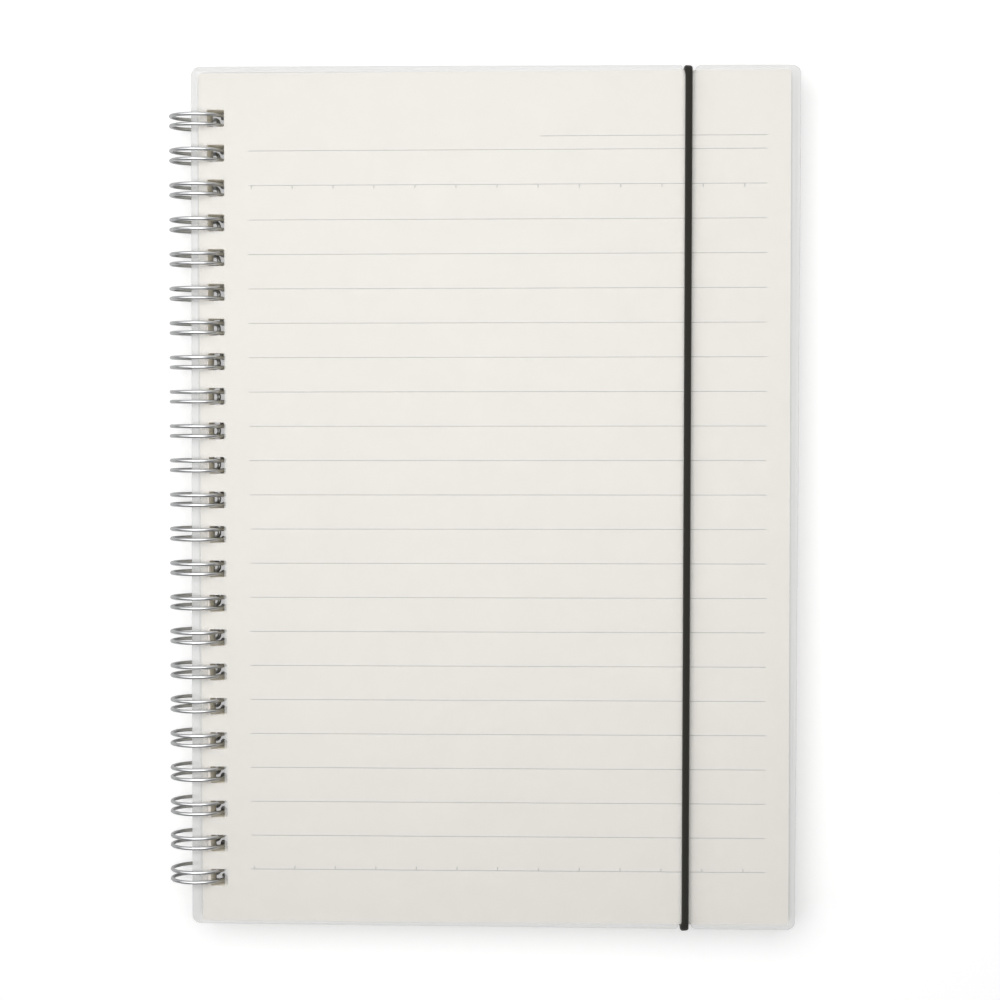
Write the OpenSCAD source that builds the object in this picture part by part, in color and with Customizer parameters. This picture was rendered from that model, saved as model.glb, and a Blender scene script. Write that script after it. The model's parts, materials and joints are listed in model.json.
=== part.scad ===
// Wire-bound notebook, closed and lying face up. Two frosted plastic covers hold a block of ruled
// pages, one continuous twin-loop wire binds them along the spine, and a round elastic band in
// notches at head and foot keeps the notebook shut.
// X runs from the spine to the fore edge, Y from foot to head, and Z up from the table.

/* [Covers] */
// Width of a cover, from its spine edge to its fore edge
cover_w = 148; // [120:1:180]
// Height of a cover, from foot to head
cover_h = 210; // [150:1:260]
// Thickness of the plastic sheet
cover_t = 0.6; // [0.4:0.05:0.6]
// Radius of the covers' corners
cover_corner_r = 2; // [1:0.5:5]

/* [Pages] */
// How far the pages stop short of the covers at the spine
pages_in_spine = 1.7; // [1.7:0.1:2.4]
// How far the pages stop short of the covers at the fore edge
pages_in_fore = 2.3; // [1:0.1:6]
// How far the pages stop short of the covers at head and foot
pages_in_end = 1.35; // [1:0.05:4]
// Radius of the pages' corners
pages_corner_r = 2; // [1:0.5:5]

/* [Holes] */
// Spacing of the holes along the spine, three to the inch
hole_pitch = 8.467; // [7.5:0.001:10]
// Width of a hole, across the spine
hole_w = 4.2; // [4.1:0.1:5]
// Height of a hole, along the spine
hole_h = 4.1; // [3.8:0.1:5]
// Radius of a hole's corners
hole_corner_r = 0.4; // [0.1:0.1:0.8]
// Strip of cover between its spine edge and the holes
hole_margin = 3.8; // [3.2:0.1:4]
// Least distance from the middle of an end hole to the head or foot
hole_end_min = 9; // [7:0.5:12]
// How far the whole row of holes sits towards the foot
hole_row_drop = 0.55; // [0:0.05:1]

/* [Wire] */
// Outer diameter of a closed loop, which sets how thick a stack of pages it binds
ring_d = 14.3; // [12:0.1:16]
// Room between the front cover and the inside of a loop at its top
ring_room = 1.65; // [1.65:0.05:4]
// Diameter of the wire
wire_d = 0.9; // [0.7:0.05:0.9]
// Spacing of a loop's two wires, centre to centre
twin_gap = 2.4; // [2:0.1:2.6]
// Centre-line radius of the bends between a loop and the links beside it
link_bend_r = 0.8; // [0.6:0.1:1]
// Play between the wire and what it runs beside
wire_play = 0.1; // [0.05:0.05:0.2]
// Gap between a closed loop's tip and the links
tip_gap = 0.3; // [0.2:0.1:0.6]

/* [Elastic band] */
// Diameter of the band
band_d = 1.7; // [1.5:0.1:2]
// Distance from the covers' fore edge to the middle of the band
band_in = 27; // [15:0.1:40]
// Play between the band and the covers
band_play = 0.1; // [0.05:0.05:0.2]
// Inside radius of the band where it turns over the covers' edges
band_turn_r = 0.2; // [0.1:0.05:0.2]

/* [Band notches] */
// Depth of the notch that holds the band
notch_depth = 1.35; // [1:0.05:2]
// Width of the notch between its sides
notch_w = 3; // [2.4:0.1:5]
// Radius of the rolled shoulders at the notch's mouth
notch_shoulder_r = 0.8; // [0.4:0.05:1]
// Radius of the notch's inner corners
notch_floor_r = 0.4; // [0.1:0.05:0.9]

/* [Hidden] */
$fn = 48;
section_fn = 16;

// Heights of the sheets, from the table up
back_z = band_d + band_play;
pages_z = back_z + cover_t;
front_z = ring_d - wire_d - ring_room - cover_t;
pages_t = front_z - pages_z;

// Centre line of a loop, which touches the table and nearly fills its hole on the fore side
ring_r = (ring_d - wire_d) / 2;
ring_z = ring_d / 2;
ring_in = hole_margin + hole_w - wire_play - ring_d / 2;
ring_out = ring_d / 2 - ring_in;

// The covers and the loops' overhang are centred on X = 0 together
spine_x = (ring_out - cover_w) / 2;
ring_x = spine_x + ring_in;
hole_x = spine_x + hole_margin + hole_w / 2;
band_x = spine_x + cover_w - band_in;

// The row of holes
hole_count = floor((cover_h - 2 * hole_end_min) / hole_pitch) + 1;
function hole_y(i) = (i - (hole_count - 1) / 2) * hole_pitch - hole_row_drop;

// Seam of the loops: the links lie between the last page and the back cover
link_z = pages_z + wire_play + wire_d / 2;
link_reach = sqrt(ring_r * ring_r + link_bend_r * link_bend_r);
link_angle = atan(link_bend_r / ring_r) - asin((ring_z - link_z) / link_reach);
link_x = ring_x + ring_r * cos(link_angle) + link_bend_r * sin(link_angle);
tip_bend_r = twin_gap / 2;
seam_length = link_bend_r + tip_gap + tip_bend_r + wire_d;
seam_angle = seam_length / ring_r * 180 / PI;

// Groove in the last pages that takes the links
groove_w = wire_d + 4 * wire_play;
groove_top = link_z + wire_d / 2 + wire_play;

// Centre line of the band, which bears on the notches or on the pages' ends
band_y = cover_h / 2 - min(notch_depth, pages_in_end) + band_play + band_d / 2;
band_low = band_d / 2;
band_high = front_z + cover_t + band_play + band_d / 2;
band_turn = band_turn_r + band_d / 2;

cover_colour = [0.92, 0.91, 0.88, 0.7];
page_colour = [0.95, 0.93, 0.87];
wire_colour = [0.75, 0.75, 0.77];
band_colour = [0.13, 0.13, 0.13];

// Rectangle with round corners, centred on the origin
module round_rect(w, h, r) {
    square([w - 2 * r, h], center = true);
    square([w, h - 2 * r], center = true);
    for (sx = [-1, 1], sy = [-1, 1])
        translate([sx * (w / 2 - r), sy * (h / 2 - r)])
            circle(r = r);
}

// Notch cut down from an edge at Y = 0, with round inner corners and rolled shoulders
module notch() {
    mouth_w = notch_w + 2 * notch_shoulder_r;
    round_rect(notch_w, 2 * notch_depth, notch_floor_r);
    difference() {
        translate([-mouth_w / 2, -notch_shoulder_r])
            square([mouth_w, 2 * notch_shoulder_r]);
        for (side = [-1, 1])
            translate([side * mouth_w / 2, -notch_shoulder_r])
                circle(r = notch_shoulder_r);
    }
}

// All the holes along the spine
module hole_row() {
    for (i = [0 : hole_count - 1])
        translate([hole_x, hole_y(i)])
            round_rect(hole_w, hole_h, hole_corner_r);
}

// One plastic cover, its underside at height z
module cover(z) {
    translate([0, 0, z])
        linear_extrude(height = cover_t)
            difference() {
                translate([spine_x + cover_w / 2, 0])
                    round_rect(cover_w, cover_h, cover_corner_r);
                hole_row();
                translate([band_x, cover_h / 2])
                    notch();
                translate([band_x, -cover_h / 2])
                    mirror([0, 1])
                        notch();
            }
}

module front_cover() {
    color(cover_colour)
        cover(front_z);
}

module back_cover() {
    color(cover_colour)
        cover(back_z);
}

// The pages are one solid, lifted over the wire's links along the holes
module page_block() {
    pages_w = cover_w - pages_in_spine - pages_in_fore;
    pages_h = cover_h - 2 * pages_in_end;
    groove_l = (hole_count - 1) * hole_pitch;
    color(page_colour)
        difference() {
            translate([0, 0, pages_z])
                linear_extrude(height = pages_t)
                    difference() {
                        translate([spine_x + pages_in_spine + pages_w / 2, 0])
                            round_rect(pages_w, pages_h, pages_corner_r);
                        hole_row();
                    }
            translate([link_x - groove_w / 2, hole_y(0), back_z])
                cube([groove_w, groove_l, groove_top - back_z]);
        }
}

// Round bar bent about the Z axis
module bent_bar(bar_d, bend_r, angle) {
    rotate_extrude(angle = angle)
        translate([bend_r, 0])
            circle(d = bar_d, $fn = section_fn);
}

// Wire bent in the Y-Z plane, from one angle through another
module wire_bend(bend_r, from, angle) {
    rotate([90, 0, 90])
        rotate([0, 0, from])
            bent_bar(wire_d, bend_r, angle);
}

// The seam's wedge of space, between the loops' tips and the links at Z = 0
module seam_wedge() {
    reach = ring_d;
    length = hole_count * hole_pitch;
    y_low = hole_y(0) - hole_pitch / 2;
    intersection() {
        translate([0, y_low, -reach])
            cube([reach, length, reach]);
        rotate([0, seam_angle, 0])
            translate([0, y_low, 0])
                cube([reach, length, reach]);
    }
}

// Two round wires through each hole, open at the seam
module twin_arcs() {
    difference() {
        for (i = [0 : hole_count - 1], side = [-1, 1])
            translate([0, hole_y(i) + side * tip_bend_r, 0])
                rotate([90, 0, 0])
                    bent_bar(wire_d, ring_r, 360);
        seam_wedge();
    }
}

// The round tip that joins a loop's two wires
module loop_tip(y) {
    rotate([0, seam_angle, 0])
        translate([ring_r, y, 0])
            wire_bend(tip_bend_r, 0, 180);
}

// The wire from one loop to the next, with a bend at each end
module link(y_from, y_to) {
    straight = y_to - y_from - 2 * link_bend_r;
    translate([ring_r, y_from + link_bend_r, 0]) {
        wire_bend(link_bend_r, 180, 90);
        translate([0, 0, -link_bend_r])
            rotate([-90, 0, 0])
                cylinder(d = wire_d, h = straight, $fn = section_fn);
        translate([0, straight, 0])
            wire_bend(link_bend_r, 270, 90);
    }
}

// One continuous wire, made about the loops' axis and turned so that the links reach their place
module wire_binding() {
    color(wire_colour)
        translate([ring_x, 0, ring_z])
            rotate([0, -link_angle, 0])
                union() {
                    twin_arcs();
                    for (i = [0 : hole_count - 1])
                        loop_tip(hole_y(i));
                    for (i = [0 : hole_count - 2])
                        link(hole_y(i) + tip_bend_r, hole_y(i + 1) - tip_bend_r);
                }
}

// Closed loop round both covers: straight along each face and each end, with a bend at each corner
module elastic_band() {
    strand_l = 2 * (band_y - band_turn);
    rise = band_high - band_low - 2 * band_turn;
    color(band_colour)
        translate([band_x, 0, 0]) {
            for (z = [band_low, band_high])
                translate([0, strand_l / 2, z])
                    rotate([90, 0, 0])
                        cylinder(d = band_d, h = strand_l, $fn = section_fn);
            for (side = [-1, 1])
                translate([0, side * band_y, band_low + band_turn])
                    cylinder(d = band_d, h = rise, $fn = section_fn);
            for (quarter = [0 : 3]) {
                side = (quarter == 0 || quarter == 3) ? 1 : -1;
                z = quarter < 2 ? band_high - band_turn : band_low + band_turn;
                translate([0, side * strand_l / 2, z])
                    rotate([90, 0, 90])
                        rotate([0, 0, 90 * quarter])
                            bent_bar(band_d, band_turn, 90);
            }
        }
}

front_cover();
back_cover();
page_block();
wire_binding();
elastic_band();
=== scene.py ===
"""Looks of the wire-bound notebook: frosted covers, ruled pages, twin-loop wire and braided elastic cord.

Lengths are in millimetres up to the point where a mesh is made, and Blender's are in metres.
X runs from the spine to the fore edge, Y from foot to head, and Z up from the table.
"""
import json
import math

import bpy
import numpy as np
from mathutils import Matrix, Vector
from mathutils.geometry import delaunay_2d_cdt


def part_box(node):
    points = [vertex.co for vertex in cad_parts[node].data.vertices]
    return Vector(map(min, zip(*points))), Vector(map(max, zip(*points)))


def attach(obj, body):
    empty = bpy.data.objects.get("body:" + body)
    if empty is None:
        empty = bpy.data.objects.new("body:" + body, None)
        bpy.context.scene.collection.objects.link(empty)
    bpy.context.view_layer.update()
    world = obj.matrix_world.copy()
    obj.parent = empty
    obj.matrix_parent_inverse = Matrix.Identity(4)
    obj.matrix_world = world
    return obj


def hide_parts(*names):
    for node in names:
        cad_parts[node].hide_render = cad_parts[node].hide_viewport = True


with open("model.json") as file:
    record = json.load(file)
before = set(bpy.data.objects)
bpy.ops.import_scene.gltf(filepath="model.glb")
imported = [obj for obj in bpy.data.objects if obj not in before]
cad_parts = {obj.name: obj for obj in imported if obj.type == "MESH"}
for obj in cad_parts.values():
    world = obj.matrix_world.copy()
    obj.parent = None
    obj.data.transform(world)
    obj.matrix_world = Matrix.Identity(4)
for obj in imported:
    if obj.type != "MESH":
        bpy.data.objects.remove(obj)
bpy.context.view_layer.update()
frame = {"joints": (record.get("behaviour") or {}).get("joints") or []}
MM = 0.001
STEADY = np.random.default_rng(7)


def node_box(node):
    """A CAD node's lowest and highest corner, in millimetres."""
    low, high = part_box(node)
    return np.array(low) / MM, np.array(high) / MM


FRONT_LOW, _ = node_box("front_cover")
PAGES_LOW, PAGES_HIGH = node_box("page_block")
WIRE_LOW, WIRE_HIGH = node_box("wire_binding")
BAND_LOW, BAND_HIGH = node_box("elastic_band")
SPINE_X = FRONT_LOW[0]

# Covers, with a denser film in their margins past the pages, where a darker film colour is painted shade
COVER_CORNER = 2.0
COVER_EASE = 0.12
NOTCH_WIDTH = 3.0
NOTCH_DEPTH = 1.35
NOTCH_SPINE_SHOULDER = 0.55
NOTCH_FORE_SHOULDER = 1.3
NOTCH_FLOOR = 0.4
FILM_ALPHA = 0.27
MARGIN_ALPHA = 0.57
MARGIN_BLEND = 0.5

# Holes along the spine
HOLE_COUNT = 23
HOLE_PITCH = 8.467
HOLE_DROP = 0.55
HOLE_WIDTH = 4.2
HOLE_HEIGHT = 4.1
HOLE_CORNER = 0.4
HOLE_MARGIN = 3.8
HOLE_X = SPINE_X + HOLE_MARGIN + HOLE_WIDTH / 2
HOLE_Y = (np.arange(HOLE_COUNT) - (HOLE_COUNT - 1) / 2) * HOLE_PITCH - HOLE_DROP

# Wire; the loops' pitch is a share of the holes', and a squeeze is how much narrower than round they are
WIRE_RADIUS = 0.45
WIRE_PLAY = 0.1
LOOP_RADIUS = (WIRE_HIGH[2] - WIRE_LOW[2]) / 2 - WIRE_RADIUS
LOOP_X, _, LOOP_Z = np.array(frame["joints"][0]["pos_m"]) / MM
TWIN_GAP = 2.4
LINK_BEND = 0.8
TIP_GAP = 0.3
LOOP_PITCH_SHARE = 0.9965
LOOP_DROP = 0.05
LOOP_Y = LOOP_PITCH_SHARE * HOLE_Y - LOOP_DROP
FOOT_SQUEEZE, HEAD_SQUEEZE = 0.022, 0.017

# Pages, turned by PAGE_TURN degrees and slipped towards the foot by the drops
SHEET_THICKNESS = 0.1
SHEET_SPREAD = 0.07
PAGE_CORNER = 0.6
FOOT_DROP, HEAD_DROP = 0.80, 0.15
PAGE_TURN = 0.22
LINK_CHANNEL = 2.3
LINK_CHANNEL_TOP = 3.5
COVER_AIR = 0.05
PAGE_TOP = PAGES_HIGH[2] - COVER_AIR

# Band, pressed thinner at head and foot, where it bulges towards the spine
CORD_X = (BAND_LOW[0] + BAND_HIGH[0]) / 2
CORD_RADIUS = (BAND_HIGH[0] - BAND_LOW[0]) / 2
CORD_TURN = 0.2
CORD_BEND = CORD_TURN + CORD_RADIUS
BRAID_STRANDS = 8
BRAID_PITCH = 2.4
BRAID_RELIEF = 0.09
CORD_PRESS = 0.45
CORD_BULGE = 0.35
CORD_FULLNESS = 0.07
CORD_LEAN = 0.001


class Value:
    """A shader socket that Python arithmetic works on: each operator adds its Math node."""

    def __init__(self, finish, socket):
        self.finish, self.socket = finish, socket

    def math(self, operation, *values):
        return self.finish.node("Math", {"operation": operation}, *values)

    def __add__(self, other):
        return self.math("ADD", self, other)

    def __radd__(self, other):
        return self.math("ADD", other, self)

    def __sub__(self, other):
        return self.math("SUBTRACT", self, other)

    def __rsub__(self, other):
        return self.math("SUBTRACT", other, self)

    def __mul__(self, other):
        return self.math("MULTIPLY", self, other)

    def __rmul__(self, other):
        return self.math("MULTIPLY", other, self)

    def at_least(self, other):
        return self.math("MAXIMUM", self, other)

    def at_most(self, other):
        return self.math("MINIMUM", self, other)

    def sine(self):
        return self.math("SINE", self)

    def size(self):
        return self.math("ABSOLUTE", self)


class Finish:
    """A node material, or the world, built by calls that each add one node."""

    def __init__(self, name, owner=None):
        self.owner = owner or bpy.data.materials.new(name)
        self.owner.use_nodes = True
        self.tree = self.owner.node_tree
        self.tree.nodes.clear()

    def node(self, kind, settings=None, *values, output=0, **named):
        """Adds a node, sets it up, feeds its sockets in order and by name, and gives back one output."""
        made = self.tree.nodes.new("ShaderNode" + kind)
        for key, setting in (settings or {}).items():
            setattr(made, key, setting)
        feeds = list(enumerate(values)) + [(key.replace("_", " "), value) for key, value in named.items()]
        for key, value in feeds:
            if isinstance(value, Value):
                self.tree.links.new(value.socket, made.inputs[key])
            elif value is not None:
                made.inputs[key].default_value = value
        return Value(self, made.outputs[output]) if made.outputs else None

    def place(self, output="Object"):
        return self.node("TexCoord", None, output=output)

    def part(self, vector, axis):
        return self.node("SeparateXYZ", None, vector, output=axis)

    def noise(self, size_mm, detail, stretch=None):
        """Noise between 0 and 1 with features about size_mm across, drawn out along an axis by stretch."""
        vector = self.place()
        if stretch:
            vector = self.node("VectorMath", {"operation": "MULTIPLY"}, vector, stretch)
        return self.node("TexNoise", None, Vector=vector, Scale=1 / (size_mm * MM), Detail=detail)

    def blend(self, share, first, second):
        """A colour from first, at share 0, to second, at share 1."""
        made = self.tree.nodes.new("ShaderNodeMix")
        made.data_type = "RGBA"
        for key, value in ((0, share), (6, first), (7, second)):
            if isinstance(value, Value):
                self.tree.links.new(value.socket, made.inputs[key])
            else:
                made.inputs[key].default_value = value
        return Value(self, made.outputs[2])

    def ramp(self, value, low, high):
        """value taken from low..high to 0..1, clamped."""
        return self.node("MapRange", {"clamp": True}, value, low, high, 0.0, 1.0)

    def bump(self, height, depth_mm, strength):
        return self.node("Bump", None, Strength=strength, Distance=depth_mm * MM, Height=height)

    def shader(self, **sockets):
        return self.node("BsdfPrincipled", None, **sockets)

    def output(self, surface):
        kind = "OutputWorld" if isinstance(self.owner, bpy.types.World) else "OutputMaterial"
        self.node(kind, None, surface)
        return self.owner


def grey(level):
    return (level, level, level, 1.0)


def frosted_plastic():
    """Milky sheet that lets some light straight through, less so along its margins past the pages.

    The margin is the larger of the distances past the turned pages' sides and ends, taken from 0 to 1 over
    MARGIN_BLEND. There the film is also given a darker colour, painted shade that stands in for the pages'
    shadow beneath.
    """
    f = Finish("frosted_plastic")
    place = f.place()
    x, y = f.part(place, 0), f.part(place, 1)
    turn = math.radians(PAGE_TURN)
    centre, reach = (PAGES_LOW + PAGES_HIGH) / 2 * MM, (PAGES_HIGH - PAGES_LOW) / 2 * MM
    right = x + turn * (y - HOLE_Y[-1] * MM)
    up = y - turn * (x - HOLE_X * MM)
    past_side = (right - centre[0]).size() - reach[0]
    slip = FOOT_DROP / 2 * MM
    past_end = (up - (centre[1] - slip)).size() - (reach[1] + slip)
    dense_shaded_margin = f.ramp(past_side.at_least(past_end), 0.0, MARGIN_BLEND * MM)
    clouding = f.noise(9.0, 1.0)
    grain = f.noise(0.22, 1.0)
    colour = f.blend(clouding, (0.84, 0.842, 0.828, 1), (0.88, 0.88, 0.863, 1))
    # Painted shade: the film's colour is darker along the margins past the pages
    colour = f.blend(dense_shaded_margin, colour, (0.80, 0.805, 0.795, 1))
    return f.output(f.shader(
        Base_Color=colour,
        Roughness=0.46 + 0.08 * grain,
        IOR=1.49,
        Alpha=FILM_ALPHA + (MARGIN_ALPHA - FILM_ALPHA) * dense_shaded_margin,
        Normal=f.bump(grain, 0.012, 0.6),
    ))


def paper(name, pale, deep, edge_lines):
    """Uncoated cream paper: fibre mottle and tooth, and on the cut edges a fine line for each sheet."""
    f = Finish(name)
    mottle = f.noise(3.0, 2.0)
    fibres = f.noise(0.35, 2.0)
    share = 0.55 * mottle + 0.45 * fibres
    height = fibres
    if edge_lines:
        level = f.part(f.place(), 2)
        wander = f.noise(6.0, 1.0) * 2.0
        line = (level * (2 * math.pi / (SHEET_THICKNESS * MM)) + wander).sine()
        gather = f.noise(0.5, 2.0, stretch=(0.02, 0.02, 1.0))
        share = 0.35 * fibres + 0.3 * (0.5 + 0.5 * line) + 0.6 * gather - 0.15
        height = line
    return f.output(f.shader(
        Base_Color=f.blend(share, pale, deep),
        Roughness=0.82,
        Specular_IOR_Level=0.25,
        Normal=f.bump(height, 0.01, 0.5),
    ))


def ruling_ink():
    """Pale grey printing ink, a little uneven along each line."""
    f = Finish("ruling_ink")
    patch = f.noise(1.2, 3.0)
    return f.output(f.shader(
        Base_Color=f.blend(patch, (0.34, 0.345, 0.345, 1), (0.44, 0.445, 0.44, 1)),
        Roughness=0.7,
        Specular_IOR_Level=0.3,
        Normal=f.bump(patch, 0.004, 0.4),
    ))


def bright_wire():
    """Bright drawn steel wire: faint lines along its length and a slightly dulled film."""
    f = Finish("bright_wire")
    along = f.place("UV")
    draw_lines = f.node(
        "TexNoise", None,
        Vector=f.node("VectorMath", {"operation": "MULTIPLY"}, along, (0.15, 60.0, 1.0)),
        Scale=1.0, Detail=3.0,
    )
    film = f.noise(2.2, 3.0)
    return f.output(f.shader(
        Base_Color=f.blend(film, (0.54, 0.55, 0.56, 1), (0.64, 0.645, 0.65, 1)),
        Metallic=1.0,
        Roughness=0.23 + 0.07 * draw_lines + 0.04 * film,
        Normal=f.bump(draw_lines, 0.004, 0.5),
    ))


def braided_yarn():
    """Matt black yarn of the braided sheath: fibre streaks along the strands and pale fluff on their tops."""
    f = Finish("braided_yarn")
    along = f.place("UV")
    fibres = f.node(
        "TexNoise", None,
        Vector=f.node("VectorMath", {"operation": "MULTIPLY"}, along, (14.0, 30.0, 1.0)),
        Scale=1.0, Detail=4.0,
    )
    fluff = f.noise(0.18, 3.0)
    share = f.ramp(0.6 * fibres + 0.4 * fluff, 0.35, 0.7)
    return f.output(f.shader(
        Base_Color=f.blend(share, (0.008, 0.0075, 0.006, 1), (0.034, 0.032, 0.026, 1)),
        Roughness=0.88,
        Specular_IOR_Level=0.25,
        Sheen_Weight=0.25,
        Sheen_Roughness=0.5,
        Normal=f.bump(fibres, 0.03, 0.8),
    ))


def make_mesh(name, points, faces, finishes, finish_of=None, uv=None, smooth=True):
    """A mesh object from points in millimetres and arrays of faces, each array with one number of corners."""
    corners = np.concatenate([f.ravel() for f in faces]).astype(np.int32)
    sizes = np.concatenate([np.full(len(f), f.shape[1]) for f in faces])
    mesh = bpy.data.meshes.new(name)
    mesh.vertices.add(len(points))
    mesh.vertices.foreach_set("co", (np.asarray(points) * MM).astype(np.float32).ravel())
    mesh.loops.add(len(corners))
    mesh.loops.foreach_set("vertex_index", corners)
    mesh.polygons.add(len(sizes))
    mesh.polygons.foreach_set("loop_start", (np.cumsum(sizes) - sizes).astype(np.int32))
    for finish in finishes:
        mesh.materials.append(finish)
    if finish_of is not None:
        mesh.polygons.foreach_set("material_index", np.asarray(finish_of, np.int32))
    mesh.polygons.foreach_set("use_smooth", np.full(len(sizes), smooth))
    if uv is not None:
        mesh.uv_layers.new(name="along").data.foreach_set("uv", uv.astype(np.float32).ravel())
    mesh.update(calc_edges=True)
    mesh.validate()
    piece = bpy.data.objects.new(name, mesh)
    bpy.context.scene.collection.objects.link(piece)
    return piece


def arc(centre, radius, start, end, steps=6):
    """Points on a circle: the centre plus the radius times the cosine and sine of an evenly stepped angle."""
    angle = np.radians(np.linspace(start, end, steps + 1))
    return np.column_stack((centre[0] + radius * np.cos(angle), centre[1] + radius * np.sin(angle)))


def rounded_rectangle(centre, width, height, radius, steps=6):
    """An anticlockwise outline: four quarter circles, one at each corner, joined by straight sides."""
    x, y = width / 2 - radius, height / 2 - radius
    corners = ((x, y, 0), (-x, y, 90), (-x, -y, 180), (x, -y, 270))
    return np.concatenate([
        arc((centre[0] + cx, centre[1] + cy), radius, turn, turn + 90, steps) for cx, cy, turn in corners
    ])


def divided(outline, step):
    """The closed outline with each side cut into equal lengths of at most step."""
    ahead = np.roll(outline, -1, axis=0) - outline
    pieces = np.maximum(np.ceil(np.linalg.norm(ahead, axis=1) / step).astype(int), 1)
    side = np.repeat(np.arange(len(outline)), pieces)
    share = (np.arange(len(side)) - np.repeat(np.cumsum(pieces) - pieces, pieces)) / pieces[side]
    return outline[side] + share[:, None] * ahead[side]


def outward(outline):
    """The offset of each point that moves its sides out by 1: their normals' sum over 1 plus their dot."""
    ahead = np.roll(outline, -1, axis=0) - outline
    ahead /= np.linalg.norm(ahead, axis=1)[:, None]
    normal = np.column_stack((ahead[:, 1], -ahead[:, 0]))
    behind = np.roll(normal, 1, axis=0)
    return (normal + behind) / (1 + np.sum(normal * behind, axis=1))[:, None]


def in_solid(points, start, end):
    """True where a ray from the point along X crosses an odd number of the sides from start to end."""
    x, y = points[:, :1], points[:, 1:]
    spans = (start[:, 1] > y) != (end[:, 1] > y)
    rise = np.where(start[:, 1] == end[:, 1], 1.0, end[:, 1] - start[:, 1])
    crossing = start[:, 0] + (y - start[:, 1]) * (end[:, 0] - start[:, 0]) / rise
    return np.sum(spans & (x < crossing), axis=1) % 2 == 1


def capped_stack(outlines, profile):
    """Points and faces of a closed solid whose walls follow the outlines, solid on the left of each.

    Ring k lies at height profile[k][1], moved in from the outlines by profile[k][0], from the top ring down.
    The two ends are filled by a constrained Delaunay triangulation.
    """
    flat = np.concatenate(outlines)
    away = np.concatenate([outward(o) for o in outlines])
    count = len(flat)
    rings = [np.column_stack((flat - inset * away, np.full(count, z))) for inset, z in profile]
    first = np.cumsum([0] + [len(o) for o in outlines[:-1]])
    here = np.arange(count)
    ahead = np.concatenate([s + (np.arange(len(o)) + 1) % len(o) for s, o in zip(first, outlines)])
    down = (np.arange(len(profile) - 1) * count)[:, None]
    walls = np.stack([here + down, here + down + count, ahead + down + count, ahead + down], axis=-1)

    def cap(ring):
        flat_ring = ring[:, :2]
        sides = list(zip(here.tolist(), ahead.tolist()))
        _, _, triangles, origin, _, _ = delaunay_2d_cdt([Vector(p) for p in flat_ring], sides, [], 1, 1e-7)
        source = np.array([o[0] for o in origin])
        corners = source[np.array(triangles)]
        return corners[in_solid(flat_ring[corners].mean(axis=1), flat_ring, flat_ring[ahead])]

    base = cap(rings[-1])[:, ::-1] + (len(profile) - 1) * count
    return np.concatenate(rings), [walls.reshape(-1, 4), cap(rings[0]), base]


def hole_outline(x, y):
    """One square hole with eased corners, clockwise so that the solid stays on its left."""
    return rounded_rectangle((x, y), HOLE_WIDTH, HOLE_HEIGHT, HOLE_CORNER, 4)[::-1]


def cover_outline(low, high):
    """The cover's edge, anticlockwise: rounded corners, and a notch for the cord at head and foot."""
    def notch(edge_y):
        """From right to left along the head's edge: shoulder, floor corner, floor corner, shoulder."""
        half = NOTCH_WIDTH / 2
        spine, fore = NOTCH_SPINE_SHOULDER, NOTCH_FORE_SHOULDER
        floor_x, floor_y = half - NOTCH_FLOOR, edge_y - NOTCH_DEPTH + NOTCH_FLOOR
        return np.concatenate((
            arc((CORD_X + half + fore, edge_y - fore), fore, 90, 180, 8),
            arc((CORD_X + floor_x, floor_y), NOTCH_FLOOR, 0, -90, 4),
            arc((CORD_X - floor_x, floor_y), NOTCH_FLOOR, -90, -180, 4),
            arc((CORD_X - half - spine, edge_y - spine), spine, 0, 90, 8),
        ))

    r = COVER_CORNER
    head = notch(high[1])
    foot = (notch(-low[1]) * (1, -1))[::-1]
    return np.concatenate((
        arc((high[0] - r, high[1] - r), r, 0, 90),
        head,
        arc((low[0] + r, high[1] - r), r, 90, 180),
        arc((low[0] + r, low[1] + r), r, 180, 270),
        foot,
        arc((high[0] - r, low[1] + r), r, 270, 360),
    ))


def cover(name, node, body):
    """A punched plastic sheet whose wall has a quarter circle at its upper and at its lower edge."""
    low, high = node_box(node)
    outlines = [divided(cover_outline(low, high), 6.0)]
    outlines += [hole_outline(HOLE_X, y) for y in HOLE_Y]
    angle = np.radians(np.linspace(0, 90, 4))
    inset = COVER_EASE * (1 - np.sin(angle))
    fall = COVER_EASE * (1 - np.cos(angle))
    profile = list(zip(inset, high[2] - fall)) + list(zip(inset[::-1], low[2] + fall[::-1]))
    points, faces = capped_stack(outlines, profile)
    piece = make_mesh(name, points, faces, [frosted_plastic()], smooth=False)
    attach(piece, body)
    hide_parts(node)
    return piece


def turned(points):
    """Points turned a little about the top hole, as the stack of pages has settled on the wire."""
    angle = math.radians(PAGE_TURN)
    pivot = np.array((HOLE_X, HOLE_Y[-1]))
    turn = np.array(((math.cos(angle), math.sin(angle)), (-math.sin(angle), math.cos(angle))))
    return (points - pivot) @ turn + pivot


def page_edge():
    """The sheets' outline, which has slipped a little towards the foot in the covers."""
    low = PAGES_LOW - (0, FOOT_DROP, 0)
    high = PAGES_HIGH - (0, HEAD_DROP, 0)
    size, centre = high - low, (high + low) / 2
    return rounded_rectangle(centre, size[0], size[1], PAGE_CORNER)


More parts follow.
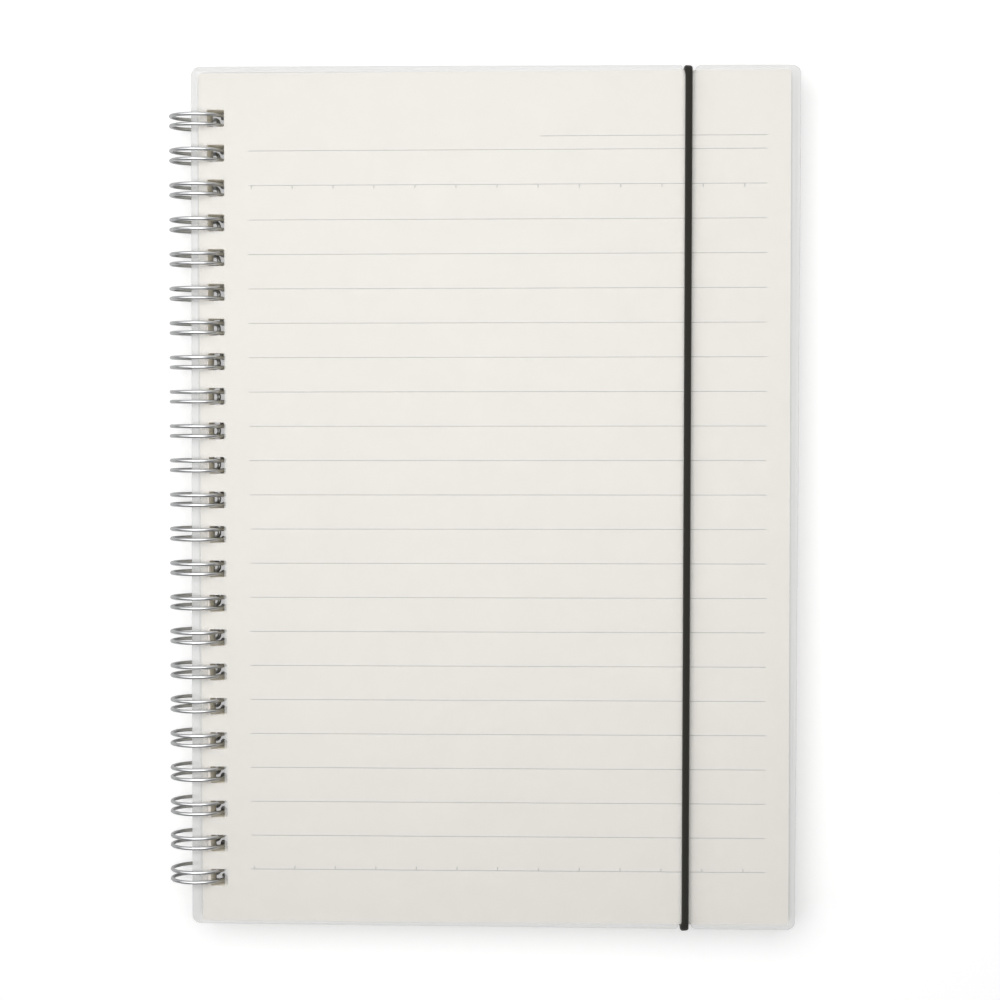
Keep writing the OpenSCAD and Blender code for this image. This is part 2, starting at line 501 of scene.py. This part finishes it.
def link_channel():
    """The last sheets' holes, joined by a channel for the wire's links: up one side and down the other."""
    def side(sign):
        """One side of a hole at Y = 0, from foot to head: corner, corner, and the channel's two ends."""
        x, y = HOLE_WIDTH / 2 - HOLE_CORNER, HOLE_HEIGHT / 2 - HOLE_CORNER
        lower = arc((-x, -y), HOLE_CORNER, 270, 180, 4)
        upper = arc((-x, y), HOLE_CORNER, 180, 90, 4)
        ends = np.array(((-LINK_CHANNEL / 2, -HOLE_HEIGHT / 2), (-LINK_CHANNEL / 2, HOLE_HEIGHT / 2)))
        return np.concatenate((ends[:1], lower, upper, ends[1:])) * (sign, 1)

    def column(sign):
        template = side(sign)
        steps = np.column_stack((np.full(HOLE_COUNT, HOLE_X), HOLE_Y))
        return (template[None] + steps[:, None]).reshape(-1, 2)

    return np.concatenate((column(1), column(-1)[::-1]))


def sheet_profile(top, bottom):
    """Two rings for each sheet, its upper and lower edge, every sheet standing in by its own small amount."""
    count = max(int(round((top - bottom) / SHEET_THICKNESS)), 1)
    edges = np.linspace(top, bottom, count + 1)
    inset = np.abs(STEADY.normal(0.0, SHEET_SPREAD / 2, count)).clip(0.0, SHEET_SPREAD)
    gap = 0.12 * SHEET_THICKNESS
    return [ring for i, top_z, base_z in zip(inset, edges[:-1], edges[1:])
            for ring in ((i, top_z), (i, base_z + gap))]


def ruled_pages():
    """The stack of loose sheets in two layers: the last sheets, bowed over the links, and the rest."""
    sheet_faces = paper("cream_paper", (0.95, 0.905, 0.85, 1), (0.92, 0.87, 0.805, 1), False)
    cut_edges = paper("cut_paper_edges", (0.97, 0.94, 0.85, 1), (0.92, 0.86, 0.71, 1), True)
    layers = (
        ([page_edge()] + [hole_outline(HOLE_X, y) for y in HOLE_Y], PAGE_TOP, LINK_CHANNEL_TOP),
        ([page_edge(), link_channel()], LINK_CHANNEL_TOP, PAGES_LOW[2]),
    )
    points, faces, finish_of, start = [], [], [], 0
    for outlines, top, bottom in layers:
        layer, made = capped_stack([turned(o) for o in outlines], sheet_profile(top, bottom))
        points.append(layer)
        faces += [f + start for f in made]
        finish_of += [np.full(len(f), kind) for f, kind in zip(made, (1, 0, 0))]
        start += len(layer)
    piece = make_mesh("ruled_pages", np.concatenate(points), faces, [sheet_faces, cut_edges],
                      np.concatenate(finish_of), smooth=False)
    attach(piece, "book")
    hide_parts("page_block")
    return piece


def printed_ruling():
    """Ink bars on the top sheet: the rules, a short line above them, and marks on two of the rules."""
    rule_count, first_y, rule_pitch = 22, 84.6, 8.39
    rule_left, rule_right = 13.8, 140.0
    head_left, head_y = 85.1, 87.85
    mark_count, first_mark, mark_pitch, mark_length, mark_width = 13, 14.6, 10.0, 0.85, 0.26
    ink_width, ink_depth = 0.18, 0.01
    rule_y = first_y - rule_pitch * np.arange(rule_count)
    mark_x = first_mark + mark_pitch * np.arange(mark_count)
    half, mark_half = ink_width / 2, mark_width / 2

    def bars(x0, x1, y0, y1):
        return np.stack(np.broadcast_arrays(x0, x1, y0, y1), axis=-1).reshape(-1, 4)

    spans = np.concatenate((
        bars(rule_left, rule_right, rule_y - half, rule_y + half),
        bars(head_left, rule_right, head_y - half, head_y + half),
        bars(mark_x - mark_half, mark_x + mark_half, rule_y[1] - mark_length, rule_y[1] - half),
        bars(mark_x - mark_half, mark_x + mark_half, rule_y[-1] + half, rule_y[-1] + mark_length),
    ))
    corner_x = spans[:, [0, 1, 1, 0]] + SPINE_X
    corner_y = spans[:, [2, 2, 3, 3]]
    flat = turned(np.stack((corner_x, corner_y), axis=-1).reshape(-1, 2)).reshape(-1, 4, 2)
    low = np.concatenate((flat, np.full((len(flat), 4, 1), PAGE_TOP)), axis=-1)
    high = np.concatenate((flat, np.full((len(flat), 4, 1), PAGE_TOP + ink_depth)), axis=-1)
    points = np.concatenate((low, high), axis=1).reshape(-1, 3)
    box = np.array(((0, 3, 2, 1), (4, 5, 6, 7), (0, 1, 5, 4), (1, 2, 6, 5), (2, 3, 7, 6), (3, 0, 4, 7)))
    faces = (box[None] + 8 * np.arange(len(flat))[:, None, None]).reshape(-1, 4)
    piece = make_mesh("page_ruling", points, [faces], [ruling_ink()], smooth=False)
    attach(piece, "book")
    return piece


def tube(path, across, radius, closed, sections, swell=None):
    """Points, faces and UVs of a round bar along a path.

    Each section's point is the path's point plus the radius times cos(t) across plus sin(t) along the cross
    product of the path's direction and across. swell adds to the radius at each (length, t).
    """
    ahead = np.roll(path, -1, axis=0) - np.roll(path, 1, axis=0)
    if not closed:
        ahead[0], ahead[-1] = path[1] - path[0], path[-1] - path[-2]
    ahead /= np.linalg.norm(ahead, axis=1)[:, None]
    across = across - np.sum(across * ahead, axis=1)[:, None] * ahead
    across /= np.linalg.norm(across, axis=1)[:, None]
    third = np.cross(ahead, across)
    t = np.arange(sections) * (2 * math.pi / sections)
    steps = np.linalg.norm(np.diff(path, axis=0, append=path[:1]), axis=1)
    length = np.concatenate(([0.0], np.cumsum(steps)))
    r = np.full((len(path), sections), radius) + (0 if swell is None else swell(length[:-1, None], t[None]))
    points = (path[:, None] + r[..., None] * (np.cos(t)[None, :, None] * across[:, None]
                                              + np.sin(t)[None, :, None] * third[:, None])).reshape(-1, 3)
    rows = len(path) if closed else len(path) - 1
    i, j = np.meshgrid(np.arange(rows), np.arange(sections), indexing="ij")
    here, next_row, next_j = i * sections, ((i + 1) % len(path)) * sections, (j + 1) % sections
    faces = np.stack((here + j, next_row + j, next_row + next_j, here + next_j), axis=-1).reshape(-1, 4)
    turn = 1.0 / sections
    uv = np.stack((
        np.stack((length[i], j * turn), -1), np.stack((length[i + 1], j * turn), -1),
        np.stack((length[i + 1], (j + 1) * turn), -1), np.stack((length[i], (j + 1) * turn), -1),
    ), axis=2).reshape(-1, 2)
    return points, faces[:, ::-1], uv.reshape(-1, 4, 2)[:, ::-1].reshape(-1, 2)


def loop_path():
    """The wire's centre line and its radial directions, in one run from the foot to the head.

    Each loop goes round from the links to its tip, turns back through a half circle and returns, and a link
    of two quarter bends and a straight leads to the next loop. Angle a lies at radius times (cos a, -sin a)
    in X and Z. The loops are a little narrower than round, most at the foot.
    """
    link_z = PAGES_LOW[2] + WIRE_PLAY + WIRE_RADIUS
    reach = math.hypot(LOOP_RADIUS, LINK_BEND)
    lean = math.asin((LOOP_Z - link_z) / reach) - math.atan(LINK_BEND / LOOP_RADIUS)
    tip_bend = TWIN_GAP / 2
    seam = (LINK_BEND + TIP_GAP + tip_bend + 2 * WIRE_RADIUS) / LOOP_RADIUS

    def round_the_loop(a, y):
        radial = np.column_stack((np.cos(a), np.zeros_like(a), -np.sin(a)))
        return radial * LOOP_RADIUS + (0, y, 0), radial

    def tip(y):
        """Half circle of the twin gap's radius in the plane that touches the loop at the seam."""
        t = np.linspace(math.pi, 0, 11)[1:-1]
        radial = np.array((math.cos(seam), 0, -math.sin(seam)))
        rising = np.array((math.sin(seam), 0, math.cos(seam)))
        middle = radial * LOOP_RADIUS + (0, y, 0)
        side = np.outer(np.cos(t), (0, tip_bend, 0))
        return middle + side + np.outer(np.sin(t), rising) * tip_bend, np.tile(radial, (len(t), 1))

    def link(y_from, y_to):
        """Quarter bend, straight and quarter bend, in the plane that touches the loop at angle 0."""
        t = np.linspace(0, math.pi / 2, 6)[1:]
        bend_y, bend_z = LINK_BEND * (1 - np.cos(t)), -LINK_BEND * np.sin(t)
        y = np.concatenate((y_from + bend_y, (y_to - bend_y)[::-1]))
        z = np.concatenate((bend_z, bend_z[::-1]))
        radial = np.tile((1.0, 0, 0), (len(y), 1))
        return np.column_stack((np.full(len(y), LOOP_RADIUS), y, z)), radial

    angles = np.linspace(2 * math.pi, seam, 49)
    runs = []
    for i, y in enumerate(LOOP_Y):
        runs += [round_the_loop(angles, y - tip_bend), tip(y), round_the_loop(angles[::-1], y + tip_bend)]
        if i + 1 < HOLE_COUNT:
            runs.append(link(y + tip_bend, LOOP_Y[i + 1] - tip_bend))
    path, radial = (np.concatenate(part) for part in zip(*runs))
    turn = np.array(((math.cos(lean), 0, -math.sin(lean)), (0, 1, 0), (math.sin(lean), 0, math.cos(lean))))
    path = path @ turn
    squeeze = np.interp(path[:, 1], (LOOP_Y[0], LOOP_Y[-1]), (FOOT_SQUEEZE, HEAD_SQUEEZE))
    path[:, 0] += squeeze * (LOOP_RADIUS - path[:, 0])
    return path + (LOOP_X, 0, LOOP_Z), radial @ turn


def twin_loop_wire():
    """One continuous wire, a round bar along the loops' path with flat cut ends."""
    path, radial = loop_path()
    sections = 12
    points, faces, uv = tube(path, radial, WIRE_RADIUS, False, sections)
    ends = np.array((np.arange(sections), len(points) - 1 - np.arange(sections)))
    uv = np.concatenate((uv, np.zeros((2 * sections, 2))))
    piece = make_mesh("twin_loop_wire", points, [faces, ends], [bright_wire()], uv=uv)
    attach(piece, "book")
    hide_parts("wire_binding")
    return piece


def cord_path(step):
    """The cord's centre line, a rectangle with quarter-circle corners in the plane across the covers."""
    centre = ((BAND_LOW[1] + BAND_HIGH[1]) / 2 - CORD_PRESS / 2, (BAND_LOW[2] + BAND_HIGH[2]) / 2)
    long_side = BAND_HIGH[1] - BAND_LOW[1] - 2 * CORD_RADIUS
    short_side = BAND_HIGH[2] - BAND_LOW[2] - 2 * CORD_RADIUS
    line = divided(rounded_rectangle(centre, long_side, short_side, CORD_BEND, 10), step)
    keep = np.linalg.norm(line - np.roll(line, 1, axis=0), axis=1) > step / 50
    line = line[keep]
    return np.column_stack((CORD_X + CORD_LEAN * (BAND_HIGH[1] - line[:, 0]), line[:, 0], line[:, 1]))


def elastic_cord():
    """Round elastic in a braided sheath.

    The sheath's height is the larger of two families of ridges that wind left and right round the cord, each
    the size of a cosine of the strand count times the turn, plus or minus the length over the pitch. At head
    and foot the section is pressed: the radius loses a squared sine of the turn, and towards the spine it
    gains a squared cosine.
    """
    path = cord_path(0.15)
    end_y = np.abs(path[:, 1] - (path[:, 1].max() + path[:, 1].min()) / 2)
    rise = np.clip(1 - (end_y.max() - end_y) / (2 * CORD_BEND), 0, 1)
    pressed = (rise * rise * (3 - 2 * rise))[:, None]

    def braid(length, t):
        wind = 2 * math.pi * length / BRAID_PITCH
        right = np.abs(np.cos(BRAID_STRANDS / 2 * (t + wind)))
        left = np.abs(np.cos(BRAID_STRANDS / 2 * (t - wind)))
        over = 0.5 + 0.5 * np.sign(np.sin(BRAID_STRANDS * t) * np.sin(BRAID_STRANDS * wind))
        ridge = np.maximum(right * (0.6 + 0.4 * over), left * (1.0 - 0.4 * over))
        press = CORD_BULGE * np.minimum(np.cos(t), 0) ** 2 - CORD_PRESS / 2 * np.sin(t) ** 2
        return BRAID_RELIEF * (ridge - 1.0) + CORD_FULLNESS * np.cos(t) ** 2 + pressed * press

    across = np.tile((1.0, 0, 0), (len(path), 1))
    points, faces, uv = tube(path, across, CORD_RADIUS, True, 24, braid)
    piece = make_mesh("elastic_cord", points, [faces], [braided_yarn()], uv=uv)
    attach(piece, "book")
    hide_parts("elastic_band")
    return piece


def floor_and_world():
    """A plain white table that keeps the shadow, in a pale room brightest overhead and beyond the head.

    The table is darker to a ray that has come through the film, fully so past the four faces of both covers:
    painted shade that stands in for the shadow under the covers.
    """
    reach = 3.0
    points = np.array(((-reach, -reach, 0), (reach, -reach, 0), (reach, reach, 0), (-reach, reach, 0))) / MM

    def seen_by(f, rays):
        return f.node("LightPath", None, output=f"Is {rays} Ray")

    f = Finish("white_table")
    f.owner.cycles.emission_sampling = "NONE"
    clear = seen_by(f, "Camera").at_least(seen_by(f, "Transmission"))
    # Painted shade: the table's colour and glow drop for rays that have come through the covers' film
    film_shade = (0.25 * f.node("LightPath", None, output="Transparent Depth")).at_most(1.0)
    cloth = f.node("BsdfDiffuse", None, Color=0.68 - 0.22 * film_shade)
    lit = (0.44 - 0.06 * film_shade) * clear
    glow = f.node("Emission", None, Color=grey(1.0), Strength=lit)
    table = make_mesh("white_table", points, [np.array([[0, 1, 2, 3]])],
                      [f.output(f.node("AddShader", None, cloth, glow))], smooth=False)

    world = bpy.data.worlds.new("pale_room")
    bpy.context.scene.world = world
    w = Finish("pale_room", world)
    way = w.place("Generated")
    lift = w.ramp(w.part(way, 2) + 0.75 * w.part(way, 1), 0.05, 0.95)
    room = 0.05 + 0.85 * lift
    bright = seen_by(w, "Glossy").at_least(seen_by(w, "Transmission"))
    clear = seen_by(w, "Camera")
    w.output(w.node("Background", None, Color=grey(1.0),
                    Strength=(1.0 - clear) * room * (0.24 + 0.96 * bright) + clear))


def soft_lamp(name, place, aim, size, watts):
    """A soft square lamp at place, in metres, that faces aim."""
    light = bpy.data.lights.new(name, "AREA")
    light.shape = "SQUARE"
    light.size = size
    light.energy = watts
    lamp = bpy.data.objects.new(name, light)
    lamp.location = Vector(place)
    lamp.rotation_euler = (Vector(aim) - lamp.location).to_track_quat("-Z", "Y").to_euler()
    lamp.visible_camera = False
    bpy.context.scene.collection.objects.link(lamp)


def camera():
    """The photograph's camera, placed from the spine edge's middle; it looks down, leaning a little."""
    stand = Vector((SPINE_X + 100.76, 21.19, 595.97)) * MM
    lean = Vector((math.radians(2.095), math.radians(-2.464), math.radians(-0.210)))
    focal_px, picture_px, sensor = 2400.0, 1000.0, 36.0
    data = bpy.data.cameras.new("camera")
    data.sensor_width = sensor
    data.lens = focal_px / picture_px * sensor
    data.clip_start = 0.01
    eye = bpy.data.objects.new("camera", data)
    turn = Matrix.Rotation(lean.length, 3, lean.normalized()).transposed()
    eye.matrix_world = Matrix.Translation(stand) @ turn.to_4x4()
    bpy.context.scene.collection.objects.link(eye)
    bpy.context.scene.camera = eye


cover("frosted_front_cover", "front_cover", "front_cover")
cover("frosted_back_cover", "back_cover", "back_cover")
ruled_pages()
printed_ruling()
twin_loop_wire()
elastic_cord()
floor_and_world()
soft_lamp("lamp_over_head", (0.0, 0.09, 0.40), (0.0, 0.09, 0.0), 0.45, 1.60)
soft_lamp("lamp_past_spine", (-0.9, 0.15, 1.0), (0.0, 0.0, 0.0), 1.6, 7.2)
camera()
bpy.context.scene.view_settings.view_transform = "Standard"
